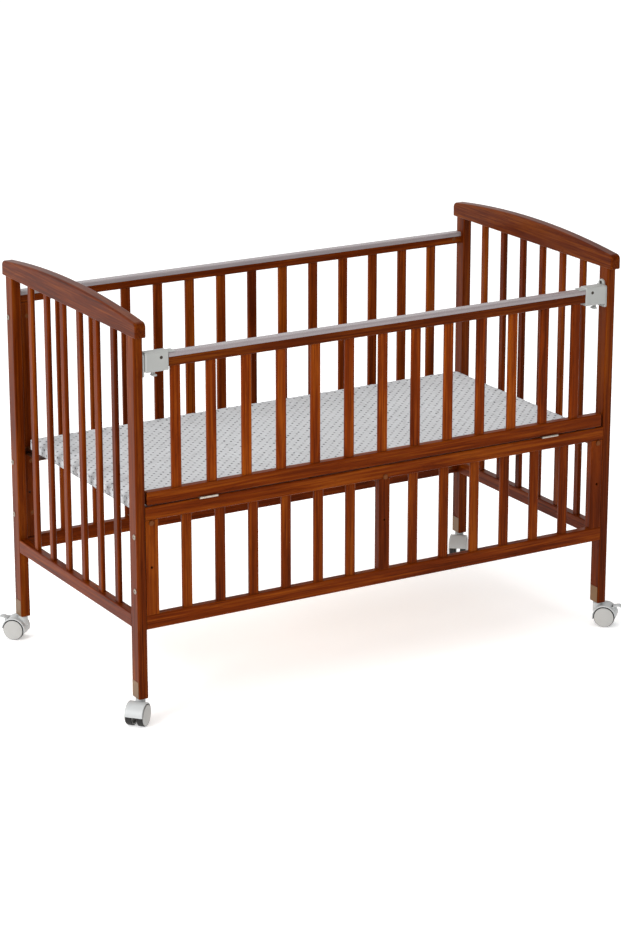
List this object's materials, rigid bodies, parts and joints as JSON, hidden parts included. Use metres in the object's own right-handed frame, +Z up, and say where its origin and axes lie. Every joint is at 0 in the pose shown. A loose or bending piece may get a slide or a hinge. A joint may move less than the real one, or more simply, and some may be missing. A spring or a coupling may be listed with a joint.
{
  "type": "folding-side crib",
  "caption": "Slatted wooden crib on casters, arched end rails, front side splits and its upper half folds down on hinges, thin mattress inside.",
  "frame": {"origin": "on the floor, under the centre of the four posts", "axes": "+X along the length, -Y towards the side with the fold-down gate, +Z up"},
  "size_m": [1.3222, 0.7032, 0.9249],
  "materials": {
    "stained_wood": "reddish brown stain under semi-gloss lacquer",
    "plywood": "sanded plywood",
    "zinc_steel": "zinc plated",
    "dark_steel": "dark bronzed steel",
    "teething_cover": "grey, smooth, slightly glossy",
    "latch_plastic": "light grey moulded",
    "foot_plate": "dull brass colour",
    "caster_plastic": "light grey moulded nylon",
    "caster_wheel": "light grey disc, dark grey tread",
    "caster_steel": "bright steel",
    "mattress_fabric": "pale grey cotton print with small dashes"
  },
  "bodies": {
    "frame": {"front_left_post": "stained_wood", "front_right_post": "stained_wood", "back_left_post": "stained_wood", "back_right_post": "stained_wood", "left_end_cap_rail": "stained_wood", "right_end_cap_rail": "stained_wood", "left_end_bottom_rail": "stained_wood", "right_end_bottom_rail": "stained_wood", "end_slats": "stained_wood", "back_top_rail": "stained_wood", "back_bottom_rail": "stained_wood", "back_slats": "stained_wood", "panel_stiles": "stained_wood", "lower_front_top_rail": "stained_wood", "lower_front_bottom_rail": "stained_wood", "lower_front_slats": "stained_wood", "base_battens": "stained_wood", "mattress_board": "plywood", "panel_bolts": "zinc_steel", "hinge_lower_leaves": "zinc_steel", "hinge_pins": "zinc_steel", "caster_sockets": "zinc_steel", "base_bolts": "dark_steel", "barrel_nuts": "dark_steel", "base_brackets": "dark_steel", "fixed_side_screws": "dark_steel", "back_teething_cover": "teething_cover", "latch_keepers": "latch_plastic", "post_foot_plates": "foot_plate"},
    "gate": {"gate_top_rail": "stained_wood", "gate_bottom_rail": "stained_wood", "gate_slats": "stained_wood", "gate_teething_cover": "teething_cover", "hinge_upper_leaves": "zinc_steel", "gate_screws": "dark_steel", "left_latch_housing": "latch_plastic", "right_latch_housing": "latch_plastic", "left_latch_spring": "zinc_steel", "right_latch_spring": "zinc_steel"},
    "left_latch": {"left_latch_bolt": "latch_plastic"},
    "right_latch": {"right_latch_bolt": "latch_plastic"},
    "mattress": {"mattress": "mattress_fabric"},
    "front_left_caster": {"front_left_caster_hood": "caster_plastic", "front_left_caster_pins": "caster_steel"},
    "front_left_wheel_a": {"front_left_caster_wheel_a": "caster_wheel"},
    "front_left_wheel_b": {"front_left_caster_wheel_b": "caster_wheel"},
    "back_left_caster": {"back_left_caster_hood": "caster_plastic", "back_left_caster_pins": "caster_steel"},
    "back_left_wheel_a": {"back_left_caster_wheel_a": "caster_wheel"},
    "back_left_wheel_b": {"back_left_caster_wheel_b": "caster_wheel"},
    "front_right_caster": {"front_right_caster_hood": "caster_plastic", "front_right_caster_pins": "caster_steel"},
    "front_right_wheel_a": {"front_right_caster_wheel_a": "caster_wheel"},
    "front_right_wheel_b": {"front_right_caster_wheel_b": "caster_wheel"},
    "back_right_caster": {"back_right_caster_hood": "caster_plastic", "back_right_caster_pins": "caster_steel"},
    "back_right_wheel_a": {"back_right_caster_wheel_a": "caster_wheel"},
    "back_right_wheel_b": {"back_right_caster_wheel_b": "caster_wheel"},
    "back_left_brake": {"back_left_brake_lever": "caster_plastic"},
    "front_right_brake": {"front_right_brake_lever": "caster_plastic"}
  },
  "joints": [
    {"name": "gate_fold", "type": "hinge", "parent": "frame", "child": "gate", "pos_m": [0, -0.3204, 0.4956], "axis": [1, 0, 0], "range_deg": [0, 180]},
    {"name": "left_latch_pull", "type": "slide", "parent": "gate", "child": "left_latch", "axis": [1, 0, 0], "range_m": [0, 0.0055], "stiffness_N_per_m": 400, "springref_m": -0.006, "deforming": ["left_latch_spring"]},
    {"name": "right_latch_pull", "type": "slide", "parent": "gate", "child": "right_latch", "axis": [-1, 0, 0], "range_m": [0, 0.0055], "stiffness_N_per_m": 400, "springref_m": -0.006, "deforming": ["right_latch_spring"]},
    {"name": "mattress_lift", "type": "slide", "parent": "frame", "child": "mattress", "axis": [0, 0, 1], "range_m": [0, 0.48]},
    {"name": "front_left_caster_swivel", "type": "hinge", "parent": "frame", "child": "front_left_caster", "pos_m": [-0.60875, -0.30065, 0.059], "axis": [0, 0, 1], "continuous": true},
    {"name": "front_left_wheel_a_spin", "type": "hinge", "parent": "front_left_caster", "child": "front_left_wheel_a", "pos_m": [-0.61329, -0.32412, 0.025], "axis": [0.6652, -0.7466, 0], "continuous": true},
    {"name": "front_left_wheel_b_spin", "type": "hinge", "parent": "front_left_caster", "child": "front_left_wheel_b", "pos_m": [-0.63258, -0.30246, 0.025], "axis": [0.6652, -0.7466, 0], "continuous": true},
    {"name": "back_left_caster_swivel", "type": "hinge", "parent": "frame", "child": "back_left_caster", "pos_m": [-0.60875, 0.30065, 0.059], "axis": [0, 0, 1], "continuous": true},
    {"name": "back_left_wheel_a_spin", "type": "hinge", "parent": "back_left_caster", "child": "back_left_wheel_a", "pos_m": [-0.63249, 0.30342, 0.025], "axis": [-0.6947, -0.7193, 0], "continuous": true},
    {"name": "back_left_wheel_b_spin", "type": "hinge", "parent": "back_left_caster", "child": "back_left_wheel_b", "pos_m": [-0.61235, 0.32428, 0.025], "axis": [-0.6947, -0.7193, 0], "continuous": true},
    {"name": "back_left_brake_press", "type": "hinge", "parent": "back_left_caster", "child": "back_left_brake", "pos_m": [-0.6368, 0.32774, 0.0466], "axis": [-0.6947, -0.7193, 0], "range_deg": [0, 14]},
    {"name": "front_right_caster_swivel", "type": "hinge", "parent": "frame", "child": "front_right_caster", "pos_m": [0.60875, -0.30065, 0.059], "axis": [0, 0, 1], "continuous": true},
    {"name": "front_right_wheel_a_spin", "type": "hinge", "parent": "front_right_caster", "child": "front_right_wheel_a", "pos_m": [0.63249, -0.30342, 0.025], "axis": [0.6947, 0.7193, 0], "continuous": true},
    {"name": "front_right_wheel_b_spin", "type": "hinge", "parent": "front_right_caster", "child": "front_right_wheel_b", "pos_m": [0.61235, -0.32428, 0.025], "axis": [0.6947, 0.7193, 0], "continuous": true},
    {"name": "front_right_brake_press", "type": "hinge", "parent": "front_right_caster", "child": "front_right_brake", "pos_m": [0.6368, -0.32774, 0.0466], "axis": [0.6947, 0.7193, 0], "range_deg": [0, 14]},
    {"name": "back_right_caster_swivel", "type": "hinge", "parent": "frame", "child": "back_right_caster", "pos_m": [0.60875, 0.30065, 0.059], "axis": [0, 0, 1], "continuous": true},
    {"name": "back_right_wheel_a_spin", "type": "hinge", "parent": "back_right_caster", "child": "back_right_wheel_a", "pos_m": [0.60835, 0.27675, 0.025], "axis": [0.7848, -0.6198, 0], "continuous": true},
    {"name": "back_right_wheel_b_spin", "type": "hinge", "parent": "back_right_caster", "child": "back_right_wheel_b", "pos_m": [0.58559, 0.29473, 0.025], "axis": [0.7848, -0.6198, 0], "continuous": true}
  ]
}
